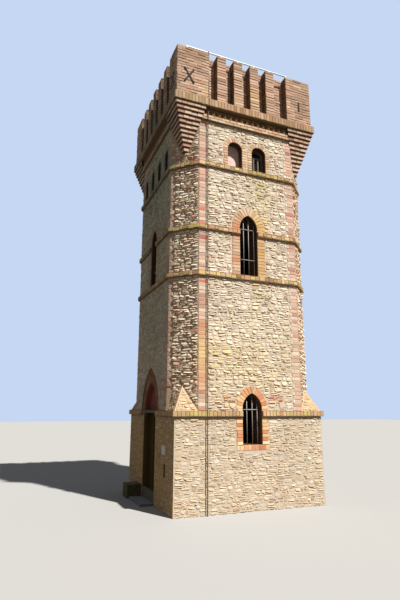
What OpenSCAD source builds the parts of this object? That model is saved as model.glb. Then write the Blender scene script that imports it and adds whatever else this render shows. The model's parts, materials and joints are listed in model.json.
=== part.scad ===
// Square Gothic Revival lookout tower: rubble walls with cut-off brick corners,
// pointed and round-headed windows, stepped corner corbels and a slotted parapet.
// Millimetres, +Z up, origin at the centre of the footprint on the ground.
// The entrance faces -Y and the side with the paired top windows faces +X.

/* [Plan] */
// Width of the tower across its flat faces
shaft_w = 3500; // [3300:10:3800]
// Length cut off each face at the 45 degree corners
corner_cut = 510; // [440:10:560]
// Wall thickness up to the first floor
wall_low_t = 450; // [440:5:500]
// Wall thickness between the first and second floors
wall_mid_t = 390; // [380:5:420]
// Wall thickness above the second floor
wall_top_t = 330; // [310:5:360]

/* [Levels] */
// Height of the square base
base_h = 1985; // [1940:5:2050]
// Height of the plain storey between the base and the second string course
plain_storey_h = 2865; // [2700:5:3000]
// Height from the lancet sill to the third string course
upper_string_rise = 965; // [900:5:1000]
// Height from the lancet sill to the fourth string course
lancet_storey_h = 2525; // [2450:5:2600]
// Height from the top sill to the corner corbels
corbel_rise = 265; // [200:5:300]
// Height of the corner corbels, up to the parapet band
corbel_h = 1120; // [1060:10:1180]
// Depth of the first floor below the lancet sill
first_floor_drop = 915; // [800:5:1000]
// Depth of the second floor below the top sill
second_floor_drop = 905; // [800:5:1000]
// Thickness of the built floors
floor_t = 150; // [100:5:200]

/* [String courses and cornice] */
// Height of one string course
string_h = 115; // [90:5:130]
// Projection of the string courses
string_out = 45; // [30:1:60]
// Height of the cornice moulding
moulding_h = 140; // [110:5:160]
// Projection of the cornice moulding
moulding_out = 60; // [40:1:80]
// Height of the frieze between the moulding and the band
frieze_h = 180; // [150:5:220]
// Height of the toothed brick course on the moulding
tooth_h = 110; // [80:5:130]
// Distance from one brick tooth to the next
tooth_pitch = 150; // [120:5:180]
// Projection of the brick teeth
tooth_out = 80; // [60:1:90]
// Projection of the course that the teeth stand on
tooth_root = 15; // [10:1:25]

/* [Corner corbels] */
// Number of stepped courses in a corner corbel
corbel_courses = 11; // [8:1:14]
// How far the lowest course stays back from the full square corner
corbel_in = 190; // [150:5:220]
// How far the top course reaches beyond the wall face
corbel_out = 120; // [90:5:140]

/* [Parapet] */
// Height of the band under the parapet
band_h = 190; // [150:5:220]
// Projection of the band beyond the wall face
band_out = 155; // [145:5:190]
// Projection of the parapet face beyond the wall face
parapet_out = 102; // [80:1:120]
// Height of the parapet above the band
parapet_h = 1300; // [1000:10:1400]
// Thickness of the wall behind the slots
parapet_t = 160; // [120:5:200]
// Depth of the slots between the merlons
slot_d = 190; // [150:5:220]
// Width of a corner block on the front and back faces
front_block = 570; // [500:5:620]
// Number of merlons on the front and back faces
front_merlons = 5; // [4:1:6]
// Width of a merlon on the front and back faces
front_merlon_w = 250; // [200:5:280]
// Width of the near corner block on the side faces
side_block = 820; // [700:5:860]
// Width of the far corner block on the side faces
side_block_far = 720; // [650:5:780]
// Number of merlons on the side faces
side_merlons = 4; // [3:1:5]
// Width of a merlon on the side faces
side_merlon_w = 240; // [200:5:260]
// Width of the slots on the side faces, the last one being wider
side_slot_w = 210; // [180:5:240]
// Thickness of the roof deck
deck_t = 170; // [120:5:190]

/* [Entrance] */
// Width of the doorway
door_w = 960; // [860:10:980]
// Level of the threshold
threshold_h = 250; // [200:5:280]
// Depth from the wall face to the door leaf
door_set = 80; // [70:5:110]
// Thickness of the door leaf
leaf_t = 50; // [40:1:60]
// Gap around the door leaf
door_gap = 8; // [7:1:12]
// Height of the lintel
lintel_h = 60; // [50:5:100]
// Bearing of the lintel on each side
lintel_bearing = 100; // [80:5:120]
// Radius of the stone brackets under the lintel
bracket_r = 100; // [70:5:120]
// Distance kept between the brackets and the door leaf
bracket_gap = 10; // [6:1:20]
// Depth from the wall face to the red panel over the lintel
panel_set = 150; // [100:5:180]
// Thickness of the red panel
panel_t = 50; // [40:1:60]
// Rise of the red panel over the lintel
panel_rise = 630; // [560:10:700]
// Half width of the brick arch over the door
arch_half = 700; // [660:5:740]
// Rise of the brick arch over the door
arch_rise = 990; // [950:1:1060]
// Set-back of the brick arch from the wall face
arch_set = 30; // [15:1:45]
// Depth of the brick arch
arch_t = 250; // [210:5:300]
// Height of the doorstep
step_h = 50; // [40:5:100]
// Depth of the doorstep
step_d = 300; // [220:5:340]
// Width of the doorstep
step_w = 980; // [900:10:1060]
// Height of the low stone block beside the step
cheek_h = 300; // [220:5:340]
// Width of the low stone block
cheek_w = 420; // [300:5:450]
// Depth of the low stone block
cheek_d = 340; // [260:5:380]
// Space between the step and the low stone block
cheek_gap = 20; // [10:5:60]
// Width of the narrow slot beside the door
slot_hole_w = 110; // [50:5:130]
// Height of the narrow slot beside the door
slot_hole_h = 260; // [220:5:300]
// Depth of the narrow slot beside the door
slot_hole_d = 120; // [80:5:150]
// Level of the foot of the narrow slot
slot_hole_z = 660; // [600:5:700]
// Distance of the narrow slot from the end of the front wall
slot_hole_edge = 10; // [5:5:40]
// Width of the bare white plate
plate_w = 240; // [180:5:260]
// Height of the bare white plate
plate_h = 190; // [160:5:240]
// Thickness of the bare white plate
plate_t = 8; // [5:1:12]
// Level of the foot of the bare white plate
plate_z = 1095; // [1000:5:1200]
// Distance of the plate's middle from the corner of the base
plate_edge = 640; // [600:5:700]

/* [Door hinges] */
// Radius of the hinge pins
pin_r = 9; // [8:0.5:10]
// Running clearance between a pin and its strap eye
pin_gap = 0.05; // [0.02:0.01:0.09]
// Wall of the strap eye around the pin
eye_wall = 7; // [6:0.5:9]
// Distance kept between the strap eye and the jamb
eye_gap = 6; // [5:0.5:8]
// Length of a strap
strap_l = 600; // [500:10:800]
// Height of a strap
strap_h = 50; // [40:1:60]
// Thickness of a strap
strap_t = 8; // [6:1:10]
// Height of the lower strap above the threshold
strap_low = 260; // [200:5:320]
// Depth of the upper strap below the lintel
strap_high = 300; // [240:5:360]
// Thickness of the iron seat under each strap eye
seat_t = 16; // [12:1:20]
// Space between the seat and the strap eye
seat_gap = 5; // [5:0.5:8]
// How far the pin stands above the strap eye
pin_head = 4; // [2:0.5:8]

/* [Windows] */
// Half width of the low pointed windows
low_half = 230; // [200:5:260]
// Depth of their sill below the top of the base
low_sill_drop = 690; // [600:5:780]
// Height of their springing above the base
low_spring_rise = 35; // [20:5:90]
// Depth of the brick surrounds
ring_t = 110; // [80:5:130]
// Brick surround of the low pointed windows
low_ring = 150; // [120:5:180]
// Half width of the lancets
lancet_half = 225; // [200:5:250]
// Height of the lancets from sill to springing
lancet_h = 1135; // [1090:5:1180]
// Brick surround of the lancets
lancet_ring = 200; // [150:5:220]
// Rise of the pointed window heads
head_rise = 330; // [300:5:360]
// Half width of the paired top windows
pair_half = 187; // [170:1:195]
// Distance of each paired window from the middle of the face
pair_x = 320; // [315:1:340]
// Height of the paired windows
pair_h = 665; // [620:5:690]
// Brick surround of the paired windows
pair_ring = 110; // [90:5:115]
// Half width of the slit windows over the entrance
slit_half = 120; // [90:5:140]
// Distance of the inner slits from the middle of the face
slit_x = 290; // [260:5:320]
// Distance of the outer slits from the middle of the face
slit_far_x = 860; // [820:5:900]
// Height of the slit windows
slit_h = 605; // [560:5:640]
// Brick surround of the slit windows
slit_ring = 100; // [80:5:110]
// Depth of the blind niche
niche_d = 180; // [140:5:200]
// Thickness of its plastered back
niche_back_t = 60; // [40:5:80]
// Width of a window frame bar
frame_w = 38; // [30:1:45]
// Depth of a window frame
frame_t = 50; // [40:1:60]
// Depth from the wall face to the window frame
frame_set = 140; // [115:5:160]
// Thickness of the window glass
glass_t = 6; // [4:1:8]

/* [Iron work] */
// Width of the flat lightning conductor
strip_w = 20; // [16:1:40]
// Thickness of the flat lightning conductor
strip_t = 6; // [5:1:10]
// Distance of the conductor from the middle of the side face
strip_y = 1050; // [1045:1:1060]
// Width of the rail along the parapet edge
rail_w = 30; // [20:1:40]
// Height of the rail along the parapet edge
rail_h = 18; // [12:1:25]
// Height of the small feet that carry the rail
rail_foot_h = 24; // [15:1:35]
// Distance of the rail from the edge of the parapet
rail_set = 5; // [0:1:10]
// Distance of the rail's near end from the corner
rail_near = 230; // [180:10:300]
// Length of the rail on the far block
rail_bearing = 35; // [30:5:120]
// Length of the bars of a crossed wall anchor
anchor_l = 450; // [400:10:500]
// Length of the upright wall anchor
anchor_far_l = 260; // [200:10:320]
// Width of the bars of a wall anchor
anchor_w = 36; // [28:1:50]
// Thickness of a wall anchor
anchor_t = 22; // [15:1:30]
// Slope of the crossed bars from upright, in degrees
anchor_slope = 33; // [20:1:40]
// Height of the anchors above the band
anchor_z = 520; // [480:5:600]
// Depth of the upright anchor's middle below the crossed ones
anchor_drop = 10; // [0:5:80]
// Distance of the crossed side anchor from its corner
anchor_edge = 300; // [280:5:340]
// Distance of the upright anchor from its corner
anchor_far_edge = 355; // [320:5:380]
// Distance of the front anchor from its corner
anchor_front_edge = 300; // [280:5:320]

/* [Hidden] */
$fn = 96;

w = shaft_w / 2;
door_half = door_w / 2;
door_head = base_h - lintel_h;
string_z = base_h - string_h;
lancet_sill = base_h + plain_storey_h + string_h;
upper_string_z = lancet_sill + upper_string_rise;
top_string_z = lancet_sill + lancet_storey_h;
top_sill = top_string_z + string_h;
corbel_z = top_sill + corbel_rise;
wall_top = corbel_z + corbel_h;
moulding_z = wall_top - frieze_h - moulding_h;
first_floor_z = lancet_sill - first_floor_drop;
second_floor_z = top_sill - second_floor_drop;
low_sill = base_h - low_sill_drop;
low_spring = base_h + low_spring_rise;
lancet_spring = lancet_sill + lancet_h;
first_ledge = first_floor_z - floor_t;
second_ledge = second_floor_z - floor_t;
top_z = wall_top + band_h + parapet_h;
parapet_half = w + parapet_out;
slot_back = parapet_half - slot_d;
parapet_in = slot_back - parapet_t;
front_slot_w = (2 * parapet_half - 2 * front_block - front_merlons * front_merlon_w)
  / (front_merlons + 1);
pair_spring = top_sill + pair_h - pair_half;
slit_spring = top_sill + slit_h - slit_half;
slit_xs = [-slit_far_x, -slit_x, slit_x, slit_far_x];
eye_r = pin_r + eye_wall;
hinge_x = -door_half + eye_r + eye_gap;
hinge_y = -w + door_set + leaf_t + eye_r;
strap_zs = [threshold_h + strap_low, door_head - strap_high];
brick_red = [0.72, 0.42, 0.32];
brick_pale = [0.80, 0.58, 0.42];
rubble = [0.80, 0.74, 0.62];
iron = [0.12, 0.12, 0.13];

// Corner cut of the plan when every face moves out by o
function cut(o) = corner_cut + (2 - sqrt(2)) * o;
// Half length of a flat face when every face moves out by o
function flat(o) = w + o - cut(o);

// Puts what is drawn on the entrance side onto face k, counted anticlockwise
module on_face(k) {
  rotate([0, 0, 90 * k]) children();
}

// Upright slab from an outline in x and z, from depth d behind the face, t thick
module slab(d, t) {
  translate([0, -w + d + t, 0])
    rotate([90, 0, 0])
      linear_extrude(height = t)
        children();
}

// Outline of the eight-sided plan moved out by o
module plan(o) {
  h = w + o;
  f = flat(o);
  polygon([[-f, -h], [f, -h], [h, -f], [h, f], [f, h], [-f, h], [-h, f], [-h, -f]]);
}

// Plan of one straight wall
module wall_plan(t) {
  translate([-flat(0), -w]) square([2 * flat(0), t]);
}

// Points of the inside of a corner, between the ends of the two walls that it joins
function corner_inside(t) = [[w, -flat(0)], [w - t, -flat(0)], [w - t, -flat(-t)],
  [flat(-t), -w + t], [flat(0), -w + t]];

// Plan of one cut-off corner, right of the entrance
module corner_plan(t) {
  polygon(concat([[flat(0), -w]], corner_inside(t)));
}

// The same corner in the base, where the outside is square
module base_corner_plan(t) {
  polygon(concat([[flat(0), -w], [w, -w]], corner_inside(t)));
}

// Three lengths stacked above the base, thinner from each floor ledge up
module storeys() {
  translate([0, 0, base_h]) linear_extrude(height = first_ledge - base_h) children(0);
  translate([0, 0, first_ledge]) linear_extrude(height = second_ledge - first_ledge) children(1);
  translate([0, 0, second_ledge]) linear_extrude(height = wall_top - second_ledge) children(2);
}

// Pointed head of two arcs, half width a, springing s, rise r, widened by e, cut off below
module pointed_head(a, s, r, e = 0, below = 0) {
  radius = (a * a + r * r) / (2 * a);
  c = radius - a;
  intersection() {
    translate([c, s]) circle(r = radius + e, $fn = 180);
    translate([-c, s]) circle(r = radius + e, $fn = 180);
    translate([-a - e, s - below]) square([2 * (a + e), r + 2 * e + below]);
  }
}

// Pointed outline with upright sides down to z0
module pointed(a, z0, s, r, e = 0) {
  translate([-a - e, z0]) square([2 * (a + e), s - z0]);
  pointed_head(a, s, r, e, 20);
}

// Round-headed outline, half width a, springing s, sides down to z0, widened by e
module rounded(a, z0, s, e = 0) {
  translate([-a - e, z0]) square([2 * (a + e), s - z0]);
  translate([0, s]) circle(r = a + e);
}

module low_window(e) {
  pointed(low_half, e > 0 ? low_sill - string_h : low_sill, low_spring, head_rise, e);
}

module lancet(e) {
  pointed(lancet_half, lancet_sill, lancet_spring, head_rise, e);
}

module pair_window(side, e) {
  translate([side * pair_x, 0]) rounded(pair_half, top_sill, pair_spring, e);
}

module slits(e) {
  for (x = slit_xs) translate([x, 0]) rounded(slit_half, top_sill, slit_spring, e);
}

// Hole through a wall, with the rebate that takes its brick surround:
// the first outline is the opening, the second the outside of the surround
module hole(t = wall_low_t + 1) {
  slab(-1, t + 1) children(0);
  slab(-1, ring_t + 1) children(1);
}

// Holes of a side with the slit windows
module slit_side_holes() {
  hole() {
    lancet(0);
    lancet(lancet_ring);
  }
  hole() {
    slits(0);
    slits(slit_ring);
  }
}

// Holes of a side with the paired top windows
module pair_side_holes() {
  low_hole();
  hole() {
    lancet(0);
    lancet(lancet_ring);
  }
  hole() {
    pair_window(1, 0);
    pair_window(1, pair_ring);
  }
  hole(niche_d + niche_back_t) {
    pair_window(-1, 0);
    pair_window(-1, pair_ring);
  }
}

module low_hole() {
  hole() {
    low_window(0);
    low_window(low_ring);
  }
}

module wall_segment() {
  storeys() {
    wall_plan(wall_low_t);
    wall_plan(wall_mid_t);
    wall_plan(wall_top_t);
  }
}

module ground_floor() {
  color(rubble) linear_extrude(height = threshold_h) plan(-wall_low_t);
}

module first_floor() {
  color([0.55, 0.42, 0.28]) translate([0, 0, first_ledge])
    linear_extrude(height = floor_t) plan(-wall_mid_t);
}

module second_floor() {
  color([0.55, 0.42, 0.28]) translate([0, 0, second_ledge])
    linear_extrude(height = floor_t) plan(-wall_top_t);
}

module roof_deck() {
  color([0.5, 0.48, 0.44]) translate([-parapet_in, -parapet_in, wall_top])
    cube([2 * parapet_in, 2 * parapet_in, deck_t]);
}

module base_front_piers() {
  color(rubble) difference() {
    linear_extrude(height = base_h) wall_plan(wall_low_t);
    translate([-door_half, -w - 1, -1]) cube([door_w, wall_low_t + 2, base_h + 2]);
    translate([-door_half - lintel_bearing, -w - 1, door_head])
      cube([door_w + 2 * lintel_bearing, wall_low_t + 2, lintel_h + 1]);
    translate([flat(0) - slot_hole_edge - slot_hole_w, -w - 1, slot_hole_z])
      cube([slot_hole_w, slot_hole_d + 1, slot_hole_h]);
  }
}

module base_side_wall() {
  color(rubble) difference() {
    linear_extrude(height = base_h) wall_plan(wall_low_t);
    low_hole();
  }
}

module base_right_wall() {
  on_face(1) base_side_wall();
}

module base_back_wall() {
  color(rubble) on_face(2) linear_extrude(height = base_h) wall_plan(wall_low_t);
}

module base_left_wall() {
  on_face(3) base_side_wall();
}

module base_corners() {
  color(rubble) for (k = [0:3]) on_face(k)
    linear_extrude(height = base_h) base_corner_plan(wall_low_t);
}

module front_wall() {
  color(rubble) difference() {
    wall_segment();
    slit_side_holes();
    slab(-1, arch_set + arch_t + 1) pointed_head(arch_half, base_h, arch_rise, 0, 1);
    slab(-1, wall_low_t + 2) pointed_head(door_half, base_h, panel_rise, 0, 1);
  }
}

module right_wall() {
  color(rubble) on_face(1) difference() {
    wall_segment();
    pair_side_holes();
  }
}

module back_wall() {
  color(rubble) on_face(2) difference() {
    wall_segment();
    slit_side_holes();
  }
}

module left_wall() {
  color(rubble) on_face(3) difference() {
    wall_segment();
    pair_side_holes();
  }
}

module corner_walls() {
  color(rubble) for (k = [0:3]) on_face(k) storeys() {
    corner_plan(wall_low_t);
    corner_plan(wall_mid_t);
    corner_plan(wall_top_t);
  }
}

// Half pyramid that leads from the square base to a cut-off corner
module broach() {
  polyhedron(
    points = [[flat(0), -w, base_h], [w, -w, base_h], [w, -flat(0), base_h],
      [(w + flat(0)) / 2, -(w + flat(0)) / 2, base_h + corner_cut]],
    faces = [[0, 1, 2], [0, 3, 1], [1, 3, 2], [0, 2, 3]]);
}

module broach_stops() {
  color(brick_red) for (k = [0:3]) on_face(k) broach();
}

// Square collar round the base
module base_collar() {
  translate([0, 0, string_z]) linear_extrude(height = string_h) difference() {
    square(2 * (w + string_out), center = true);
    square(2 * w, center = true);
  }
}

module base_string_course() {
  color(brick_pale) difference() {
    base_collar();
    translate([-door_half - lintel_bearing, -w - string_out - 1, string_z - 1])
      cube([door_w + 2 * lintel_bearing, string_out + 2, string_h + 2]);
    for (k = [1, 3]) on_face(k)
      translate([-low_half, -w - string_out - 1, string_z - 1])
        cube([2 * low_half, string_out + 2, string_h + 2]);
  }
}

// Collar that follows the eight sides of the shaft
module shaft_collar(z, h, out) {
  translate([0, 0, z]) linear_extrude(height = h) difference() {
    plan(out);
    plan(0);
  }
}

module string_courses() {
  color(brick_pale) {
    shaft_collar(lancet_sill - string_h, string_h, string_out);
    difference() {
      shaft_collar(upper_string_z, string_h, string_out);
      for (k = [0:3]) on_face(k)
        translate([-lancet_half, -w - string_out - 1, upper_string_z - 1])
          cube([2 * lancet_half, string_out + 2, string_h + 2]);
    }
    shaft_collar(top_string_z, string_h, string_out);
  }
}

// Length on a face, drawn in by 45 degree ends that meet the corner corbels
module face_course(z, h, out) {
  translate([0, 0, z]) linear_extrude(height = h)
    polygon([[-flat(0), -w], [-flat(0) + out, -w - out], [flat(0) - out, -w - out],
      [flat(0), -w]]);
}

module cornice_moulding() {
  color(brick_pale) for (k = [0:3]) on_face(k)
    face_course(moulding_z, moulding_h, moulding_out);
}

// Course of bricks laid on the slant, each with one edge forward
module toothed_course() {
  n = floor(2 * (flat(0) - tooth_out) / tooth_pitch);
  x0 = -n * tooth_pitch / 2;
  teeth = [for (i = [0 : 2 * n])
    [x0 + i * tooth_pitch / 2, -w - (i % 2 == 0 ? tooth_root : tooth_out)]];
  color(brick_red) translate([0, 0, moulding_z + moulding_h])
    for (k = [0:3]) on_face(k) linear_extrude(height = tooth_h)
      polygon(concat([[-x0, -w], [x0, -w]], teeth));
}

// One corbel: courses that step out from the cut-off corner to a square one,
// each drawn from its own level up to the band
module corbel() {
  step = (corbel_in + corbel_out) / (corbel_courses - 1);
  translate([0, 0, wall_top]) mirror([0, 0, 1])
    for (i = [0 : corbel_courses - 1]) {
      e = i * step - corbel_in;
      linear_extrude(height = corbel_h * (1 - i / corbel_courses))
        polygon([[flat(0) - e, -w - e], [w + e, -w - e], [w + e, -flat(0) + e]]);
    }
}

module corner_corbels() {
  color(brick_red) for (k = [0:3]) on_face(k) corbel();
}

module parapet_band() {
  color(brick_pale) translate([0, 0, wall_top]) linear_extrude(height = band_h)
    difference() {
      square(2 * (w + band_out), center = true);
      square(2 * parapet_in, center = true);
    }
}

module parapet_wall() {
  color(brick_red) translate([0, 0, wall_top + band_h]) linear_extrude(height = parapet_h)
    difference() {
      square(2 * slot_back, center = true);
      square(2 * parapet_in, center = true);
    }
}

// Plan of the corner block at the right end of face k, with one leg on each face
module corner_block_plan(near, far) {
  translate([parapet_half - near, -parapet_half]) square([near, slot_d]);
  translate([slot_back, -parapet_half]) square([slot_d, far]);
}

module corner_blocks() {
  color(brick_red) translate([0, 0, wall_top + band_h]) linear_extrude(height = parapet_h) {
    corner_block_plan(front_block, side_block);
    mirror([1, 0]) corner_block_plan(front_block, side_block_far);
    mirror([0, 1]) corner_block_plan(front_block, side_block_far);
    rotate(180) corner_block_plan(front_block, side_block);
  }
}

module merlon(x, width) {
  translate([x, -parapet_half, wall_top + band_h]) cube([width, slot_d, parapet_h]);
}

module merlons() {
  front_pitch = front_slot_w + front_merlon_w;
  side_pitch = side_slot_w + side_merlon_w;
  color(brick_red) {
    for (k = [0, 2], i = [0 : front_merlons - 1]) on_face(k)
      merlon(-parapet_half + front_block + front_slot_w + i * front_pitch, front_merlon_w);
    for (k = [1, 3], i = [0 : side_merlons - 1]) on_face(k)
      merlon(-parapet_half + side_block + side_slot_w + i * side_pitch, side_merlon_w);
  }
}

// Bar along one side on square feet, one on each merlon and on the blocks at its ends
module parapet_rail() {
  side_pitch = side_slot_w + side_merlon_w;
  first_foot = side_block + side_slot_w + side_merlon_w / 2 - rail_w / 2;
  rail_end = 2 * parapet_half - side_block_far + rail_bearing;
  feet = concat([rail_near, rail_end - rail_w],
    [for (i = [0 : side_merlons - 1]) first_foot + i * side_pitch]);
  color([0.75, 0.75, 0.74])
    translate([parapet_half - rail_w - rail_set, -parapet_half, top_z]) {
      translate([0, rail_near, rail_foot_h]) cube([rail_w, rail_end - rail_near, rail_h]);
      for (y = feet) translate([0, y, 0]) cube([rail_w, rail_w, rail_foot_h]);
    }
}

// Flat strip from the rail down the side face, stepping in under the cornice
module lightning_conductor() {
  band_top = wall_top + band_h;
  x0 = parapet_half;
  x1 = w + band_out;
  x2 = w + max(tooth_out, moulding_out);
  x3 = w + string_out;
  rail_top = top_z + rail_foot_h + rail_h;
  color(iron) translate([0, -strip_y - strip_w / 2, 0]) {
    translate([parapet_half - rail_w - rail_set, 0, rail_top])
      cube([rail_w + rail_set + strip_t, strip_w, strip_t]);
    translate([x0, 0, band_top]) cube([strip_t, strip_w, rail_top - band_top]);
    translate([x0, 0, band_top]) cube([x1 - x0 + strip_t, strip_w, strip_t]);
    translate([x1, 0, wall_top - strip_t]) cube([strip_t, strip_w, band_h + strip_t]);
    translate([x2, 0, wall_top - strip_t]) cube([x1 - x2 + strip_t, strip_w, strip_t]);
    translate([x2, 0, moulding_z - strip_t]) cube([strip_t, strip_w, wall_top - moulding_z]);
    translate([x3, 0, moulding_z - strip_t]) cube([x2 - x3 + strip_t, strip_w, strip_t]);
    translate([x3, 0, 0]) cube([strip_t, strip_w, moulding_z]);
  }
}

// Iron bar of length l on a parapet face, turned by angle a about its middle
module anchor_bar(x, z, a, l) {
  translate([x, -parapet_half - anchor_t / 2, z]) rotate([0, a, 0])
    cube([anchor_w, anchor_t, l], center = true);
}

module crossed_anchor(x, z) {
  anchor_bar(x, z, anchor_slope, anchor_l);
  anchor_bar(x, z, -anchor_slope, anchor_l);
}

module wall_anchors() {
  z = wall_top + band_h + anchor_z;
  color(iron) {
    on_face(1) {
      crossed_anchor(-parapet_half + anchor_edge, z);
      anchor_bar(parapet_half - anchor_far_edge, z - anchor_drop, 0, anchor_far_l);
    }
    crossed_anchor(parapet_half - anchor_front_edge, z);
  }
}

// Ring between an opening and the same outline widened
module surround() {
  slab(0, ring_t) difference() {
    children(0);
    children(1);
  }
}

module low_window_surrounds() {
  color(brick_red) for (k = [1, 3]) on_face(k) surround() {
    low_window(low_ring);
    low_window(0);
  }
}

module lancet_surrounds() {
  color(brick_pale) for (k = [0:3]) on_face(k) surround() {
    lancet(lancet_ring);
    lancet(0);
  }
}

module small_window_surrounds() {
  color(brick_pale) {
    for (k = [0, 2]) on_face(k) surround() {
      slits(slit_ring);
      slits(0);
    }
    for (k = [1, 3]) on_face(k) {
      surround() {
        pair_window(1, pair_ring);
        pair_window(1, 0);
      }
      surround() {
        pair_window(-1, pair_ring);
        pair_window(-1, 0);
      }
    }
  }
}

module niche_backs() {
  color([0.86, 0.82, 0.76]) for (k = [1, 3]) on_face(k)
    slab(niche_d, niche_back_t) pair_window(-1, 0);
}

// Outline of the frame: border, transom at the springing and two mullions
module frame_outline() {
  difference() {
    pair_window(1, 0);
    translate([pair_x, 0]) rounded(pair_half - frame_w, top_sill + frame_w, pair_spring);
  }
  translate([pair_x - pair_half + frame_w / 2, pair_spring - frame_w])
    square([2 * pair_half - frame_w, frame_w]);
  for (s = [-1, 1])
    translate([pair_x + s * pair_half / 3 - frame_w / 2, top_sill + frame_w / 2])
      square([frame_w, pair_spring - top_sill - frame_w]);
}

module top_window_frames() {
  color([0.78, 0.79, 0.78]) for (k = [1, 3]) on_face(k)
    slab(frame_set, frame_t) frame_outline();
}

module top_window_glass() {
  color([0.5, 0.55, 0.58, 0.5]) for (k = [1, 3]) on_face(k)
    slab(frame_set + frame_t, glass_t) pair_window(1, 0);
}

module threshold() {
  color([0.45, 0.43, 0.38]) translate([-door_half, -w, 0])
    cube([door_w, wall_low_t, threshold_h]);
}

module doorstep() {
  color([0.62, 0.60, 0.55]) translate([-step_w / 2, -w - step_d, 0])
    cube([step_w, step_d, step_h]);
}

module step_cheek() {
  color([0.45, 0.43, 0.38]) translate([-step_w / 2 - cheek_gap - cheek_w, -w - cheek_d, 0])
    cube([cheek_w, cheek_d, cheek_h]);
}

module door_lintel() {
  color([0.45, 0.41, 0.36])
    translate([-door_half - lintel_bearing, -w - string_out, door_head])
      cube([door_w + 2 * lintel_bearing, wall_low_t + string_out, lintel_h]);
}

// Small quarter-round bracket under each end of the lintel
module lintel_corbels() {
  depth = door_set - bracket_gap;
  color([0.5, 0.46, 0.4]) for (s = [0, 1]) mirror([s, 0, 0])
    translate([door_half, -w + depth, door_head]) rotate([90, 0, 0])
      linear_extrude(height = depth)
        intersection() {
          circle(r = bracket_r);
          translate([-bracket_r, -bracket_r]) square([bracket_r, bracket_r]);
        }
}

module door_arch() {
  color(brick_red) slab(arch_set, arch_t) difference() {
    pointed_head(arch_half, base_h, arch_rise);
    pointed_head(door_half, base_h, panel_rise, 0, 1);
  }
}

module tympanum() {
  color([0.35, 0.12, 0.1]) slab(panel_set, panel_t)
    pointed_head(door_half, base_h, panel_rise);
}

module door_leaf() {
  color([0.40, 0.38, 0.32])
    translate([-door_half + door_gap, -w + door_set, threshold_h + door_gap])
      cube([door_w - 2 * door_gap, leaf_t, door_head - threshold_h - 2 * door_gap]);
}

module door_straps() {
  color(iron) for (z = strap_zs) {
    difference() {
      union() {
        translate([hinge_x, hinge_y - eye_r, z - strap_h / 2])
          cube([strap_l, strap_t, strap_h]);
        translate([hinge_x, hinge_y, z - strap_h / 2]) cylinder(r = eye_r, h = strap_h);
      }
      translate([hinge_x, hinge_y, z - strap_h]) cylinder(r = pin_r + pin_gap, h = 2 * strap_h);
    }
  }
}

module door_pintles() {
  foot = strap_h / 2 + seat_gap + seat_t;
  color(iron) for (z = strap_zs) {
    translate([hinge_x, hinge_y, z - foot])
      cylinder(r = pin_r, h = foot + strap_h / 2 + pin_head);
    translate([-door_half, hinge_y - pin_r, z - foot])
      cube([hinge_x + door_half, 2 * pin_r, seat_t]);
  }
}

module name_plate() {
  color([0.92, 0.92, 0.9]) translate([w - plate_edge - plate_w / 2, -w - plate_t, plate_z])
    cube([plate_w, plate_t, plate_h]);
}

ground_floor();
first_floor();
second_floor();
roof_deck();
base_front_piers();
base_right_wall();
base_back_wall();
base_left_wall();
base_corners();
front_wall();
right_wall();
back_wall();
left_wall();
corner_walls();
broach_stops();
base_string_course();
string_courses();
cornice_moulding();
toothed_course();
corner_corbels();
parapet_band();
parapet_wall();
corner_blocks();
merlons();
parapet_rail();
lightning_conductor();
wall_anchors();
low_window_surrounds();
lancet_surrounds();
small_window_surrounds();
niche_backs();
top_window_frames();
top_window_glass();
threshold();
doorstep();
step_cheek();
door_lintel();
lintel_corbels();
door_arch();
tympanum();
door_pintles();
door_leaf();
door_straps();
name_plate();
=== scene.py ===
import json
import bpy
import numpy as np
from mathutils import Matrix, Vector


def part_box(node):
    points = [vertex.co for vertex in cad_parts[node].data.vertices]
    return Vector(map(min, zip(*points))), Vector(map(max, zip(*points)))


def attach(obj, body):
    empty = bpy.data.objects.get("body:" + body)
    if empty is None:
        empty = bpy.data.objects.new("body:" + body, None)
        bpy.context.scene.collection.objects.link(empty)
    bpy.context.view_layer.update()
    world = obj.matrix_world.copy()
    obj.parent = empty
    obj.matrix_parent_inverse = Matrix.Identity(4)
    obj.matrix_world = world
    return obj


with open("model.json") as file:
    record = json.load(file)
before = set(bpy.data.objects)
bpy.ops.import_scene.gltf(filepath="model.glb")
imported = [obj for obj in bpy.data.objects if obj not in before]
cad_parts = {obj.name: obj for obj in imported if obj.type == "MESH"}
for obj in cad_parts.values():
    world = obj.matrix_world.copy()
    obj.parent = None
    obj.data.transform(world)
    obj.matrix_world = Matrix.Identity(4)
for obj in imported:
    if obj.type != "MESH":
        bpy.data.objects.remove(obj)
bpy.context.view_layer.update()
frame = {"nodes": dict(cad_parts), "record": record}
nodes = frame["nodes"]
print("frame loaded")


# levels and widths, read from the frame, in metres
def low(node):
    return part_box(node)[0]


def high(node):
    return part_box(node)[1]


half = high("right_wall").x             # middle of the tower to a wall face
flatHalf = high("front_wall").x         # half of a face between the cut corners
cutFar = (half + flatHalf) / np.sqrt(2)
cutHalf = (half - flatHalf) / np.sqrt(2)
baseTop = high("base_corners").z
stringHigh = baseTop - low("base_string_course").z
stringOut = high("string_courses").x - half
lancetSill = low("string_courses").z + stringHigh       # top of the lowest string course
midRise = 0.965                         # from there up to the middle string course
midString = lancetSill + midRise
topSill = high("string_courses").z
corbelLow = low("corner_corbels").z
wallTop = high("corner_walls").z
mouldLow, mouldTop = low("cornice_moulding").z, high("cornice_moulding").z
mouldFar = high("cornice_moulding").x
teethTop = high("toothed_course").z
bandTop = high("parapet_band").z
bandFar = high("parapet_band").x
parapetTop = high("merlons").z
parapetFar = high("merlons").x
slotBack = high("parapet_wall").x
parapetThick = 0.16
parapetIn = slotBack - parapetThick
deckTop = high("roof_deck").z
doorHalf = high("threshold").x
lintelHalf = high("door_lintel").x
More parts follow.
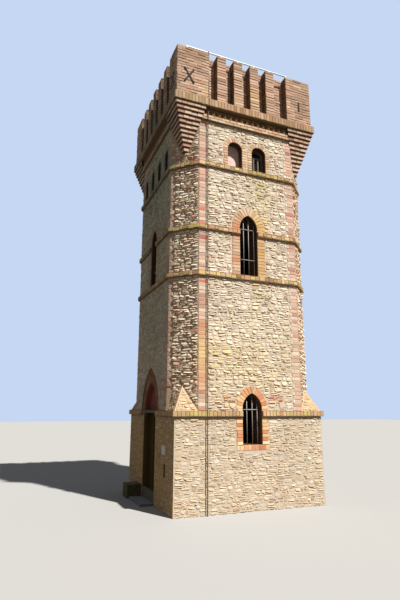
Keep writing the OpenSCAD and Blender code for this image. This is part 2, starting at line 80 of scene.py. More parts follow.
up = np.array([0.0, 0.0, 1.0])


# upright plane that blocks are laid on: angle 0 looks along -Y, 90 along +X,
# far is its distance from the middle
def plane(angle, far):
    a = np.radians(angle)
    out = np.array([np.sin(a), -np.cos(a), 0])
    return dict(origin=far * out, along=np.array([np.cos(a), np.sin(a), 0]), up=up, out=out)


# level plane at height z, u along face k and v away from the middle
def levelPlane(angle, z):
    side = plane(angle, 0)
    return dict(origin=z * up, along=-side["along"], up=side["out"], out=up)


# plane through three points that run anticlockwise as seen from outside, u along the first two
def planeOf(p, q, r):
    p, q, r = (np.array(v, float) for v in (p, q, r))
    along = (q - p) / np.linalg.norm(q - p)
    out = np.cross(q - p, r - p)
    out /= np.linalg.norm(out)
    return dict(origin=p, along=along, up=np.cross(out, along), out=out)


# point = origin + u along + z up + d out, for arrays of one shape
def onPlane(p, u, z, d):
    return (p["origin"] + u[..., None] * p["along"] + z[..., None] * p["up"]
            + d[..., None] * p["out"])


faces = [plane(90 * k, half) for k in range(4)]
cuts = [plane(90 * k + 45, cutFar) for k in range(4)]


# outline of a window: reach gives its half width at height z, with straight sides up to the
# springing, then one arc each side of radius (half^2 + rise^2) / (2 half). Without a rise the
# head is round
def opening(mid, wide, foot, spring, rise=None, ring=0.1, sill=0.0):
    rise = rise or wide
    big = (wide ** 2 + rise ** 2) / (2 * wide)

    def reach(z, more=0.0):
        above = max(z - spring, 0.0)
        if z < foot - sill or above >= big + more:
            return -1.0
        return np.sqrt((big + more) ** 2 - above ** 2) - (big - wide)

    return dict(mid=mid, half=wide, foot=foot, spring=spring, big=big, ring=ring, reach=reach)


# plain upright gap of half width r between two levels; it has no ring, so more is left alone
def gap(mid, r, z0=-1.0, z1=99.0):
    def reach(z, more=0.0):
        return r if z0 < z < z1 else -1.0

    return dict(mid=mid, ring=0, reach=reach)


def noRing(w):
    return dict(w, ring=0)


# wide is half the width, sides the straight height, tall the height with the round head
lancetSet = dict(wide=0.225, sides=1.135, rise=0.33, ring=0.20)
lowSet = dict(wide=0.23, drop=0.69, spring=0.035, rise=0.33, ring=0.15)
pairSet = dict(wide=0.187, tall=0.665, ring=0.11, mids=(-0.32, 0.32))
slitSet = dict(wide=0.12, tall=0.605, ring=0.10, mids=(-0.86, -0.29, 0.29, 0.86))


def roundWindows(s):
    return [opening(mid, s["wide"], topSill, topSill + s["tall"] - s["wide"], None, s["ring"])
            for mid in s["mids"]]


lancet = opening(0, lancetSet["wide"], lancetSill, lancetSill + lancetSet["sides"],
                 lancetSet["rise"], lancetSet["ring"])
lowWindow = opening(0, lowSet["wide"], baseTop - lowSet["drop"], baseTop + lowSet["spring"],
                    lowSet["rise"], lowSet["ring"], stringHigh)
pair, slits = roundWindows(pairSet), roundWindows(slitSet)
archHalf, archRise = high("door_arch").x, high("door_arch").z - baseTop
doorArch = opening(0, archHalf, baseTop, baseTop, archRise, 0.0)
wins = {0: [lancet, doorArch] + slits, 1: [lancet, lowWindow] + pair,
        2: [lancet] + slits, 3: [lancet, lowWindow] + pair}


# one block each: u, z, half width, half height, turn, flare and height over the plane
def block(u, z, a, b, turn=0.0, flare=0.0, proud=0.01):
    u, z, a, b, turn, flare, proud = np.broadcast_arrays(u, z, a, b, turn, flare, proud)
    return np.stack([u, z, a, b, turn, flare, proud], -1).reshape(-1, 7)


def edgeAt(edge, z):
    return edge(z) if callable(edge) else edge


# the stretches of a row that no window takes, asked near its foot, halfway and near its head
def freeStretches(left, right, z0, z1, windows, joint, near=0.01):
    spans = [(max(edgeAt(left, z0), edgeAt(left, z1)), min(edgeAt(right, z0), edgeAt(right, z1)))]
    for w in windows:
        r = max(w["reach"](z, w["ring"]) for z in (z0 + near, (z0 + z1) / 2, z1 - near))
        if r <= 0:
            continue
        a, b = w["mid"] - r - joint, w["mid"] + r + joint
        spans = [s for p, q in spans for s in ((p, min(q, a)), (max(p, b), q)) if s[1] > s[0]]
    return spans


def rowLevels(z0, z1, s, rng):
    count = max(1, round((z1 - z0) / s["high"]))
    share = rng.uniform(1 - s["loose"], 1 + s["loose"], count)
    return z0 + (z1 - z0) * np.r_[0, np.cumsum(share)] / share.sum()


# bricks in rows: s gives the usual width and height, how loose they are, the joint, the least
# stretch that gets a brick, how ragged, tilted and proud they are and whether rows are bonded
def layRows(left, right, z0, z1, s, rng, windows=()):
    out = [np.zeros((0, 7))]
    level = rowLevels(z0, z1, s, rng)
    for i, (a, b) in enumerate(zip(level[:-1], level[1:])):
        for p, q in freeStretches(left, right, a, b, windows, s["joint"]):
            if q - p < s["least"]:
                continue
            n = max(1, round((q - p) / s["wide"]))
            w = rng.uniform(1 - s["loose"], 1 + s["loose"], n)
            if s["bond"] and i % 2 and n > 1:
                w = np.r_[w[0] / 2, w[1:], w[0] / 2]
            edge = p + (q - p) * np.r_[0, np.cumsum(w)] / w.sum()
            k = len(w)
            slim = rng.uniform(0, s["ragged"], (2, k)) * (b - a)
            out.append(block((edge[1:] + edge[:-1]) / 2, (a + b) / 2 + (slim[0] - slim[1]) / 2,
                             (edge[1:] - edge[:-1] - s["joint"]) / 2,
                             (b - a - s["joint"]) / 2 - slim.sum(0) / 2,
                             rng.normal(0, s["tilt"], k), 0.0, rng.uniform(*s["proud"], k)))
    return np.concatenate(out)


# rubble: the bed lines wander, level + sway sin(wave u + start), the widths are uneven and
# some of the stones are two thin ones instead of one, with a seam between them. A stone's slope
# is that of its bed, measured over nearBy to each side
nearBy = 0.05


def layRubble(left, right, z0, z1, s, rng, windows=()):
    out = [np.zeros((0, 7))]
    level = rowLevels(z0, z1, s, rng)
    count = len(level) - 1
    wave, start = rng.uniform(*s["waves"], count + 1), rng.uniform(0, 6.3, count + 1)
    sway = s["sway"] * s["high"] * np.r_[0, np.ones(count - 1), 0]

    def bed(i, u):
        return level[i] + sway[i] * np.sin(wave[i] * u + start[i])

    for i in range(count):
        for p, q in freeStretches(left, right, level[i], level[i + 1], windows, s["joint"]):
            if q - p < s["least"]:
                continue
            k = max(1, round((q - p) / s["wide"]))
            w = rng.uniform(1 - s["uneven"], 1 + s["uneven"], k)
            edge = p + (q - p) * np.r_[0, np.cumsum(w)] / w.sum()
            mid, wide = (edge[1:] + edge[:-1]) / 2, (edge[1:] - edge[:-1] - s["joint"]) / 2
            foot, head = bed(i, mid), bed(i + 1, mid)
            slope = (bed(i, mid + nearBy) - bed(i, mid - nearBy)) / (2 * nearBy)
            cut = np.where(rng.random(k) < s["split"], rng.uniform(*s["seam"], k), 1.0)
            seam = foot + (head - foot) * cut
            for a, b, pick in ((foot, seam, cut > 0), (seam, head, cut < 1)):
                tall = np.maximum((b - a - s["joint"]) / 2, s["thin"])
                out.append(block(mid, (a + b) / 2 + rng.normal(0, s["shift"], k),
                                 wide * rng.uniform(*s["widths"], k),
                                 tall * rng.uniform(*s["heights"], k),
                                 slope + rng.normal(0, s["tilt"], k), 0.0,
                                 rng.uniform(*s["proud"], k))[pick])
    return np.concatenate(out)


blockSunk = 0.004                       # a block's foot lies this deep in the solid

# brick: foot, edge and face rings of four corners, the bevel taken off the last ring
brickFaces = np.array([[0, 3, 2, 1]]
                      + [[4 * r + i, 4 * r + (i + 1) % 4, 4 * r + 4 + (i + 1) % 4, 4 * r + 4 + i]
                         for r in (0, 1) for i in range(4)] + [[8, 9, 10, 11]])


def brickPoints(p, rows, bevel=0.004, sunk=blockSunk):
    u, z, a, b, turn, flare, proud = (rows[:, i, None, None] for i in range(7))
    sx, sy = np.array([-1, 1, 1, -1]), np.array([-1, -1, 1, 1])
    inset = np.array([0, 0, bevel])[:, None]
    x = sx * (a - inset)
    y = sy * (b - inset) * (1 + flare * sx)
    d = np.concatenate([0 * proud - sunk, proud - bevel, proud], 1) + 0 * x
    pts = onPlane(p, u + x * np.cos(turn) - y * np.sin(turn),
                  z + x * np.sin(turn) + y * np.cos(turn), d)
    return pts.reshape(len(rows), 12, 3)


# rubble stone: three rings of eight points on |x/a|^n + |y/b|^n = 1 with uneven radii and one
# in the middle; the face is broken and nods, mostly out at its foot, and no ring passes most
stoneFaces = np.array([[0, 3, 2, 1], [0, 5, 4, 3], [0, 7, 6, 5]]
                      + [[8 * r + i, 8 * r + (i + 1) % 8, 8 * r + 8 + (i + 1) % 8, 8 * r + 8 + i]
                         for r in (0, 1) for i in range(8)]
                      + [[24, 16 + i, 16 + (i + 1) % 8, 16 + (i + 2) % 8] for i in (0, 2, 4, 6)])


def stonePoints(p, rows, s, rng):
    n = len(rows)
    u, z, a, b, turn, flare, proud = (rows[:, i, None, None] for i in range(7))
    t = np.pi / 8 + np.arange(8) * np.pi / 4 + rng.uniform(-s["skew"], s["skew"], (n, 1, 8))
    power = 2 / s["square"]
    radius = rng.uniform(1 - s["knobby"], 1 + s["knobby"] * 0.5, (n, 1, 8))
    ring = np.array([1.0, 0.95, 0.58])[:, None]
    x = a * radius * np.sign(np.cos(t)) * np.abs(np.cos(t)) ** power * ring
    y = b * radius * np.sign(np.sin(t)) * np.abs(np.sin(t)) ** power * ring
    leanX = rng.uniform(-s["lean"], s["lean"], (n, 1, 1))
    leanY = rng.uniform(*s["nod"], (n, 1, 1)) * s["lean"]
    rise = np.array([0, 0.84, 1.0])[:, None] * rng.uniform(*s["broken"], (n, 3, 8))
    d = np.minimum(proud * rise * (1 + leanX * x / a + leanY * y / b), s["most"])
    d[:, 0] = -blockSunk
    x = np.concatenate([x.reshape(n, 24), np.zeros((n, 1))], 1)
    y = np.concatenate([y.reshape(n, 24), np.zeros((n, 1))], 1)
    d = np.concatenate([d.reshape(n, 24), proud[:, 0] * rng.uniform(*s["crown"], (n, 1))], 1)
    turn = turn[:, 0]
    return onPlane(p, u[:, 0] + x * np.cos(turn) - y * np.sin(turn),
                   z[:, 0] + x * np.sin(turn) + y * np.cos(turn), d)


def linear(rgb):
    c = np.asarray(rgb, float) / 255
    return np.where(c <= 0.04045, c / 12.92, ((c + 0.055) / 1.055) ** 2.4)


# picks a colour for each block from a list of (share, red, green, blue), a little varied
def tintsOf(n, palette, rng, vary=0.10):
    share = np.array([c[0] for c in palette], float)
    colours = linear([c[1:] for c in palette])
    pick = rng.choice(len(palette), n, p=share / share.sum())
    bright = rng.normal(1, vary, (n, 1))
    return np.clip(colours[pick] * np.clip(bright, 0.5, 1.4), 0.01, 0.95)


# lichen, stains, darker and lighter patches and odd batches of brick, by place on the tower, with
# painted shade on the shaded side, -Y: middle and radii in x, y and z, then colour and strength
patches = [
    ((1.76, 0.34, 7.25), (0.3, 0.24, 0.38), (200, 186, 104), 0.60),
    ((1.76, 0.38, 6.72), (0.3, 0.20, 0.35), (206, 190, 116), 0.55),
    ((1.76, 0.36, 6.22), (0.3, 0.20, 0.28), (224, 178, 92), 0.85),
    ((1.76, 0.35, 5.45), (0.3, 0.14, 0.55), (216, 168, 92), 0.75),
    ((1.76, 0.20, 4.50), (0.3, 0.14, 0.38), (214, 196, 124), 0.45),
    ((1.76, 0.08, 3.65), (0.3, 0.16, 0.45), (216, 200, 136), 0.35),
    ((1.76, -0.33, 6.10), (0.3, 0.18, 0.26), (224, 152, 110), 0.75),
    ((1.76, -0.34, 5.33), (0.3, 0.12, 0.10), (218, 140, 104), 0.75),
    ((1.76, -1.15, 1.93), (0.3, 0.30, 0.10), (206, 188, 108), 0.70),
    ((1.76, -1.17, 3.15), (0.3, 0.14, 0.50), (232, 190, 112), 0.80),
    ((1.76, -1.20, 3.66), (0.3, 0.12, 0.10), (206, 104, 80), 0.80),
    ((1.76, -1.20, 2.70), (0.3, 0.12, 0.24), (222, 126, 86), 0.60),
    ((1.76, -0.80, 3.10), (0.3, 0.40, 0.40), (232, 198, 122), 0.55),
    ((1.76, 0.00, 2.90), (0.3, 1.30, 0.80), (232, 208, 154), 0.50),
    ((1.76, -0.62, 2.20), (0.3, 0.28, 0.13), (232, 178, 110), 0.80),
    ((1.76, 0.56, 2.24), (0.3, 0.24, 0.10), (214, 124, 88), 0.70),
    ((1.76, 0.96, 7.28), (0.3, 0.22, 0.26), (222, 178, 152), 0.40),
    ((1.76, -0.55, 7.86), (0.3, 0.16, 0.30), (222, 160, 136), 0.45),
    ((1.76, 0.40, 7.52), (0.3, 0.55, 0.08), (190, 176, 92), 0.65),
    ((1.85, 0.28, 9.60), (0.3, 0.12, 0.26), (208, 178, 98), 0.60),
    ((1.85, -0.22, 9.42), (0.3, 0.10, 0.16), (208, 178, 98), 0.35),
    ((1.85, -1.08, 9.40), (0.3, 0.12, 0.22), (210, 182, 104), 0.45),
    ((1.75, 0.00, 10.45), (0.5, 1.90, 0.14), (146, 130, 110), 0.50),
    ((1.85, -1.45, 10.28), (0.3, 0.34, 0.24), (124, 104, 78), 0.65),
    ((1.85, -1.40, 9.80), (0.3, 0.45, 0.40), (176, 150, 128), 0.50),
    ((1.85, 1.55, 9.85), (0.3, 0.40, 0.50), (150, 122, 98), 0.60),
    ((1.85, -1.55, 9.05), (0.3, 0.40, 0.10), (146, 138, 88), 0.60),
    ((1.85, 1.20, 9.05), (0.3, 0.90, 0.12), (150, 124, 84), 0.50),
    ((1.30, -1.30, 4.90), (0.5, 0.50, 0.08), (206, 180, 112), 0.45),
    ((1.30, -1.30, 6.00), (0.5, 0.50, 0.08), (206, 180, 112), 0.40),
    ((1.55, -1.55, 2.60), (0.2, 0.20, 0.14), (226, 206, 176), 0.70),
    # the last four lie on the -Y side: the greenish ones are partly damp staining and partly
    # painted shade, the warm yellow at the foot is painted warm light in shade, and the dark one on
    # the parapet is painted shade
    ((0.00, -1.80, 4.20), (1.7, 0.12, 2.60), (124, 122, 86), 0.45),
    ((0.00, -1.80, 7.60), (1.7, 0.12, 1.80), (112, 132, 118), 0.80),
    ((0.00, -1.80, 0.70), (1.9, 0.12, 1.50), (198, 150, 86), 0.80),
    ((0.00, -1.90, 9.40), (1.9, 0.16, 1.30), (92, 90, 70), 0.80),
]


# lays the patches over the block tints, the painted shade on the -Y side with them
def stainsAndShade(tints, centres, rng):
    for mid, size, colour, amount in patches:
        away = (((centres - np.array(mid)) / np.array(size)) ** 2).sum(1)
        w = amount * np.exp(-away) * rng.uniform(0.5, 1.3, len(away))
        w = np.clip(w, 0, 1)[:, None]
        tints = tints * (1 - w) + linear(colour) * w
    return tints


def blank(name):
    mat = bpy.data.materials.new(name)
    mat.use_nodes = True
    tree = mat.node_tree
    return mat, tree, tree.nodes["Principled BSDF"]


def add(tree, kind, inputs=None, **values):
    n = tree.nodes.new(kind)
    for key, value in values.items():
        setattr(n, key, value)
    for key, value in (inputs or {}).items():
        if isinstance(value, bpy.types.NodeSocket):
            tree.links.new(value, n.inputs[key])
        else:
            n.inputs[key].default_value = value
    return n


def noise(tree, scale, detail=4.0, rough=0.6):
    coord = add(tree, "ShaderNodeTexCoord")
    return add(tree, "ShaderNodeTexNoise", {"Vector": coord.outputs["Object"], "Scale": scale,
                                            "Detail": detail, "Roughness": rough}).outputs["Fac"]


def remap(tree, value, lowOut, highOut, lowIn=0.3, highIn=0.7):
    return add(tree, "ShaderNodeMapRange", {"Value": value, "From Min": lowIn, "From Max": highIn,
                                            "To Min": lowOut, "To Max": highOut}).outputs["Result"]


# colour times a grey value
def shade(tree, colour, value):
    return add(tree, "ShaderNodeVectorMath", {0: colour, 1: value}, operation="MULTIPLY").outputs[0]


def finish(tree, shader, colour, roughness, height, deep, gloss=0.15):
    tree.links.new(colour, shader.inputs["Base Color"])
    shader.inputs["Roughness"].default_value = roughness
    shader.inputs["Specular IOR Level"].default_value = gloss
    bump = add(tree, "ShaderNodeBump", {"Height": height, "Distance": deep, "Strength": 0.8})
    tree.links.new(bump.outputs["Normal"], shader.inputs["Normal"])


# masonry block: its own tint, speckled and stained
def masonry(name, grain, deep, roughness=0.9, speckle=0.18, gloss=0.15):
    mat, tree, shader = blank(name)
    tint = add(tree, "ShaderNodeAttribute", attribute_name="tint").outputs["Color"]
    fine = noise(tree, grain)
    stain = noise(tree, 1.3, 3)
    colour = shade(tree, tint, remap(tree, fine, 1 - speckle, 1 + speckle))
    colour = shade(tree, colour, remap(tree, stain, 0.86, 1.08))
    finish(tree, shader, colour, roughness, fine, deep, gloss)
    return mat


# plain rough stuff for the solids: one colour, mottled by noise
def rough(name, rgb, grain=30, deep=0.004, vary=0.2, roughness=0.9, metal=0.0):
    mat, tree, shader = blank(name)
    base = add(tree, "ShaderNodeRGB")
    base.outputs[0].default_value = (*linear(rgb), 1)
    fine = noise(tree, grain)
    colour = shade(tree, base.outputs[0], remap(tree, fine, 1 - vary, 1 + vary))
    finish(tree, shader, colour, roughness, fine, deep)
    shader.inputs["Metallic"].default_value = metal
    return mat


# lime mortar on the face of the walls, with a second colour behind it in the reveals and recesses:
# the dark ones are painted shade there, the door arch's red one is its panel's paint carried on
# into the reveal. The depth is measured from the larger of |x| and |y|. The mortar on the shaded
# side, -Y, can take its own warmer colour: painted warm light in shade
mortarSet = dict(faceDepth=0.006, recessDepth=0.018, frontBand=(0.002, 0.010))


def wallMortar(name, rgb, dark, front=None, back=0.0, grain=60, deep=0.010):
    mat, tree, shader = blank(name)
    coord = add(tree, "ShaderNodeTexCoord")
    parts = add(tree, "ShaderNodeSeparateXYZ", {0: coord.outputs["Object"]})
    x, y = (add(tree, "ShaderNodeMath", {0: parts.outputs[axis]}, operation="ABSOLUTE").outputs[0]
            for axis in "XY")
    far = add(tree, "ShaderNodeMath", {0: x, 1: y}, operation="MAXIMUM").outputs[0]
    # past these depths the mortar turns to the second colour, mostly painted shade in the reveals
    skin = half - back
    inside = remap(tree, far, 1.0, 0.0, skin - mortarSet["recessDepth"], skin - mortarSet["faceDepth"])
    near, deeper = mortarSet["frontBand"]
    side = remap(tree, parts.outputs["Y"], 1.0, 0.0, -half + near, -half + deeper)
    faced = add(tree, "ShaderNodeMix", {"Factor": side}, data_type="RGBA")
    faced.inputs[6].default_value = (*linear(rgb), 1)
    faced.inputs[7].default_value = (*linear(front or rgb), 1)
    mix = add(tree, "ShaderNodeMix", {"Factor": inside, 6: faced.outputs[2]}, data_type="RGBA")
    mix.inputs[7].default_value = (*linear(dark), 1)
    fine = noise(tree, grain)
    colour = shade(tree, mix.outputs[2], remap(tree, fine, 0.72, 1.14))
    colour = shade(tree, colour, remap(tree, noise(tree, 7, 5), 0.84, 1.08))
    finish(tree, shader, colour, 0.9, fine, deep)
    return mat


stoneLook = masonry("rubble_stone", 45, 0.006, 0.9, 0.22)
brickLook = masonry("brick_block", 70, 0.003, 0.85)
plankLook = masonry("plank_grain", 40, 0.001, 1.0, 0.15, 0.0)
solidLooks = dict(
    rubble=rough("lime_mortar", (216, 202, 182), 60, 0.010),
    brick=rough("brick_mortar", (184, 154, 130), 60, 0.004),
    pale_brick=rough("pale_brick_mortar", (180, 156, 130), 60, 0.004),
    grey_stone=rough("grey_stone", (108, 98, 82), 25, 0.006),
    floor_boards=rough("floor_boards", (120, 96, 66), 20, 0.002),
    deck=rough("roof_screed", (122, 118, 108), 20, 0.003),
    plaster=rough("old_plaster", (234, 206, 194), 9, 0.004, 0.14),
    iron=rough("rusty_iron", (52, 44, 40), 60, 0.001, 0.3, 0.7, 0.4),
    zinc=rough("galvanised", (190, 190, 186), 30, 0.001, 0.1, 0.5, 0.3),
    door_boards=rough("weathered_boards", (74, 63, 38), 25, 0.002),
    red_panel=rough("faded_red_paint", (142, 82, 72), 25, 0.001),
    frame_paint=rough("flaking_paint", (120, 108, 98), 40, 0.001, 0.25),
    plate=rough("white_plate", (214, 212, 202), 12, 0.0005, 0.06, 0.5))
ownLooks = dict(
    lightning_conductor=rough("tarnished_strip", (78, 64, 50), 60, 0.001, 0.25, 0.6, 0.3),
    doorstep=rough("blue_grey_slab", (134, 134, 136), 20, 0.004),
    step_cheek=rough("mossy_block", (92, 84, 56), 14, 0.012, 0.3),
    # the teeth under the band are dark brown: partly soot, partly painted shade under the band
    toothed_course=rough("sooty_shaded_teeth", (142, 108, 74), 30, 0.004, 0.3),
    # the warm brown of the piers and of the base corners' -Y side is painted warm light in shade;
    # the dark second colours are painted shade in the reveals, and the arch's red one is paint
    base_front_piers=wallMortar("pier_mortar", (204, 166, 112), (118, 90, 52)),
    door_arch=wallMortar("arch_mortar", (140, 104, 84), (160, 96, 84), back=0.03),
    base_corners=wallMortar("base_corner_mortar", (216, 202, 182), (112, 86, 62), (204, 166, 112)),
    corner_walls=rough("corner_mortar", (190, 165, 138), 60, 0.012, 0.3),
    corner_corbels=rough("corbel_mortar", (104, 78, 60), 40, 0.004, 0.3),
    broach_stops=rough("stop_mortar", (196, 170, 138), 40, 0.010, 0.25),
    low_window_surrounds=wallMortar("red_reveal", (196, 166, 140), (132, 88, 62)))
# the dark second colours darken the window reveals and slits: painted shade
sharedLooks = [
    (wallMortar("face_mortar", (216, 202, 182), (112, 86, 62)),
     ("base_right_wall", "base_left_wall", "right_wall", "left_wall")),
    (wallMortar("shaded_mortar", (206, 196, 172), (52, 40, 30)), ("front_wall", "back_wall")),
    (wallMortar("reveal_brick", (180, 156, 130), (82, 60, 42)),
     ("lancet_surrounds", "small_window_surrounds")),
    (rough("sooty_mortar", (134, 110, 84), 40, 0.006, 0.35),
     ("base_string_course", "string_courses", "cornice_moulding", "parapet_band"))]
ownLooks.update((node, look) for look, group in sharedLooks for node in group)


def makeGlass():
    mat, tree, shader = blank("old_glass")
    shader.inputs["Base Color"].default_value = (0.03, 0.03, 0.03, 1)
    shader.inputs["Alpha"].default_value = 0.8
    shader.inputs["Specular IOR Level"].default_value = 0.12
    dust = noise(tree, 12)
    tree.links.new(remap(tree, dust, 0.10, 0.35), shader.inputs["Roughness"])
    return mat


solidLooks["glass"] = makeGlass()
for part in frame["record"]["subparts"]:
    mesh = nodes[part["node"]].data
    mesh.materials.clear()
    mesh.materials.append(ownLooks.get(part["node"], solidLooks[part["material_slot"]]))
print("materials made")


triangles = {}


# meshes from whole arrays: points (n, m, 3), the faces of one block repeated n times
def putMesh(name, points, quads, tints, mat, body="tower", smooth=False):
    n, m = points.shape[:2]
    allQuads = (quads[None] + (np.arange(n) * m)[:, None, None]).reshape(-1, 4)
    mesh = bpy.data.meshes.new(name)
    mesh.vertices.add(n * m)
    mesh.vertices.foreach_set("co", points.astype(np.float32).ravel())
    mesh.loops.add(allQuads.size)
    mesh.loops.foreach_set("vertex_index", allQuads.astype(np.int32).ravel())
    mesh.polygons.add(len(allQuads))
    mesh.polygons.foreach_set("loop_start", np.arange(0, allQuads.size, 4, dtype=np.int32))
    mesh.polygons.foreach_set("use_smooth", np.full(len(allQuads), smooth))
    mesh.update(calc_edges=True)
    if tints is not None:
        colour = np.concatenate([tints, np.ones((n, 1))], 1).astype(np.float32)
        tint = mesh.color_attributes.new("tint", "FLOAT_COLOR", "POINT")
        tint.data.foreach_set("color", np.repeat(colour, m, axis=0).ravel())
    mesh.materials.append(mat)
    obj = bpy.data.objects.new(name, mesh)
    bpy.context.scene.collection.objects.link(obj)
    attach(obj, body)
    triangles[name] = 2 * len(allQuads)
    return obj


def putBricks(name, laid, palette, seed, vary=0.10, bevel=0.004):
    rng = np.random.default_rng(seed)
    points = np.concatenate([brickPoints(p, r, bevel) for p, r in laid])
    tints = stainsAndShade(tintsOf(len(points), palette, rng, vary), points.mean(1), rng)
    return putMesh(name, points, brickFaces, tints, brickLook)


def putStones(name, laid, s, seed):
    rng = np.random.default_rng(seed)
    points = np.concatenate([stonePoints(p, r, s, rng) for p, r in laid])
    tints = stainsAndShade(tintsOf(len(points), s["palette"], rng, s["vary"]), points.mean(1), rng)
    return putMesh(name, points, stoneFaces, tints, stoneLook)


# rubble of the walls, rougher and browner on the cut corners
creamStones = [(6, 234, 220, 198), (4, 228, 211, 187), (2, 219, 200, 174), (1, 240, 231, 215),
               (0.4, 208, 180, 156)]
brownStones = [(6, 250, 233, 212), (3, 242, 220, 196), (2, 226, 200, 174), (0.4, 216, 162, 140)]
baseCream = [(5, 222, 203, 174), (4, 212, 190, 160), (2, 200, 172, 142), (1, 228, 216, 196)]
stones = dict(high=0.074, wide=0.150, loose=0.34, uneven=0.65, joint=0.011, least=0.05, thin=0.006,
              split=0.45, seam=(0.36, 0.64), sway=0.20, waves=(2, 9), tilt=0.07, shift=0.003,
              widths=(0.86, 1.0), heights=(0.82, 1.05), proud=(0.003, 0.018), most=0.040,
              square=3.2, skew=0.24, knobby=0.24, lean=0.42, nod=(-2.0, 0.8), broken=(0.80, 1.16),
              crown=(0.85, 1.15), vary=0.06, palette=creamStones)
baseStones = dict(stones, high=0.070, wide=0.14, proud=(0.002, 0.012), lean=0.38, split=0.5,
                  sway=0.22, edge=0.01, foot=0.006, palette=baseCream)
roughStones = dict(stones, high=0.052, wide=0.155, joint=0.007, proud=(0.006, 0.023), lean=1.0,
                   knobby=0.26, vary=0.09, split=0.14, edge=0.01, palette=brownStones)
quoins = dict(high=0.082, long=0.215, short=0.150, loose=0.03, tilt=0.012, proud=(0.002, 0.008),
              joint=0.010, fromEdge=0.003, backLong=0.11, backShort=0.06, backProud=0.01,
              overCorbel=0.3, fillJoint=0.006, fillTilt=0.05, fillProud=0.010)
levels = [(baseTop, lancetSill - stringHigh), (lancetSill, midString),
          (midString + stringHigh, topSill - stringHigh), (topSill, mouldLow)]
corbelSet = dict(courses=11, inset=0.19, outset=0.12, reach=0.092, spread=0.5, hides=0.35)


# half width of the corner corbel on a cut corner: it widens from course to course
def corbelReach(z, more=0.0):
    if z < corbelLow:
        return -1.0
    return corbelSet["reach"] + corbelSet["spread"] * (z - corbelLow) / (wallTop - corbelLow)


# the broach stop covers the middle of a cut corner up to its apex
def broachReach(z, more=0.0):
    rise = (baseTop + (half - flatHalf)) - z
    return cutHalf * rise / (half - flatHalf) if rise > 0 else -1.0


corbelGap = dict(mid=0, ring=0, reach=corbelReach)
broachGap = dict(mid=0, ring=0, reach=broachReach)


def layShaft(k, rng):
    edge = flatHalf - quoins["long"]
    return [(faces[k], layRubble(-edge, edge, z0, z1, stones, rng, wins[k])) for z0, z1 in levels]


def layCut(k, rng):
    left, right = quoins["backLong"] - cutHalf, cutHalf - roughStones["edge"]
    return [(cuts[k], layRubble(left, right, z0, z1, roughStones, rng, [corbelGap, broachGap]))
            for z0, z1 in levels[:3] + [(topSill, wallTop - corbelSet["hides"])]]


for k, name in enumerate(("front", "right", "back", "left")):
    putStones("stones_" + name, layShaft(k, np.random.default_rng(11 + k)), stones, 21 + k)
cutRng = np.random.default_rng(31)
putStones("stones_cut_corners", [p for k in range(4) for p in layCut(k, cutRng)], roughStones, 32)

# the base leaves the doorway, the narrow slot and the plate free
entrySlot = dict(mid=1.175, r=0.058, z0=0.62, z1=0.96)
room = dict(door=0.01, plate=0.03)
plateLow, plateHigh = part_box("name_plate")
plateGap = gap((plateLow.x + plateHigh.x) / 2, (plateHigh.x - plateLow.x) / 2,
               plateLow.z - room["plate"], plateHigh.z + room["plate"])
baseGaps = {0: [gap(0, doorHalf + room["door"]), gap(**entrySlot), plateGap],
            1: [lowWindow], 2: [], 3: [lowWindow]}


def layBase(k, rng):
    edge = half - baseStones["edge"]
    return [(faces[k], layRubble(-edge, edge, baseStones["foot"], baseTop - stringHigh, baseStones,
                                 rng, baseGaps[k]))]


baseRng = np.random.default_rng(41)
putStones("stones_base", [p for k in range(4) for p in layBase(k, baseRng)], baseStones, 42)


broachStones = dict(stones, high=0.065, wide=0.10, split=0.1, proud=(0.002, 0.014), vary=0.10,
                    edge=0.012, foot=0.01, head=0.03,
                    palette=[(4, 208, 184, 150), (3, 196, 170, 134), (1, 184, 150, 120)])


# the two sloping sides of a broach stop, each a triangle with its apex at au, az
def layBroach(k, rng):
    turn = Matrix.Rotation(np.radians(90 * k), 3, "Z")
    foot = [turn @ Vector(v) for v in ((flatHalf, -half, baseTop), (half, -half, baseTop),
                                       (half, -flatHalf, baseTop))]
    mid = (half + flatHalf) / 2
    apex = turn @ Vector((mid, -mid, baseTop + half - flatHalf))
    out = []
    for p, q in ((foot[0], foot[1]), (foot[1], foot[2])):
        side = planeOf(p, q, apex)
        wide = (q - p).length
        v = np.array(apex - p)
        au, az = v @ side["along"], v @ side["up"]

        def left(z, au=au, az=az):
            return broachStones["edge"] + au * z / az

        def right(z, au=au, az=az, wide=wide):
            return wide - broachStones["edge"] - (wide - au) * z / az

        out.append((side, layRubble(left, right, broachStones["foot"], az - broachStones["head"],
                                    broachStones, rng)))
    return out


broachRng = np.random.default_rng(51)
putStones("stones_broach", [p for k in range(4) for p in layBroach(k, broachRng)], broachStones, 52)
print("rubble laid")

salmon = [(4, 212, 176, 156), (3, 218, 190, 170), (2, 204, 158, 136), (1.5, 226, 208, 186),
          (0.6, 200, 126, 108)]
weathered = [(4, 208, 174, 148), (3, 200, 166, 142), (2, 216, 188, 162), (1, 198, 150, 126),
             (0.8, 176, 140, 118)]
paleBricks = [(4, 220, 194, 162), (3, 210, 178, 146), (1.2, 210, 162, 130), (1, 194, 166, 128)]
redBricks = [(3, 228, 158, 118), (2, 216, 136, 100), (3, 238, 198, 146), (2, 240, 212, 168)]
archBricks = [(4, 136, 82, 62), (2, 118, 68, 52), (2, 154, 100, 76)]
bandBricks = [(4, 192, 156, 124), (3, 178, 142, 110), (2, 204, 172, 142), (1, 166, 134, 98)]
edgeBricks = [(4, 206, 176, 136), (3, 188, 156, 114), (2, 164, 128, 90), (1.5, 210, 190, 116),
              (1, 212, 154, 124)]
baseBricks = [(4, 204, 174, 132), (3, 200, 162, 118), (2, 202, 180, 116), (1, 196, 148, 110)]
corbelBricks = [(5, 214, 186, 162), (3, 200, 168, 144), (1, 194, 148, 126)]
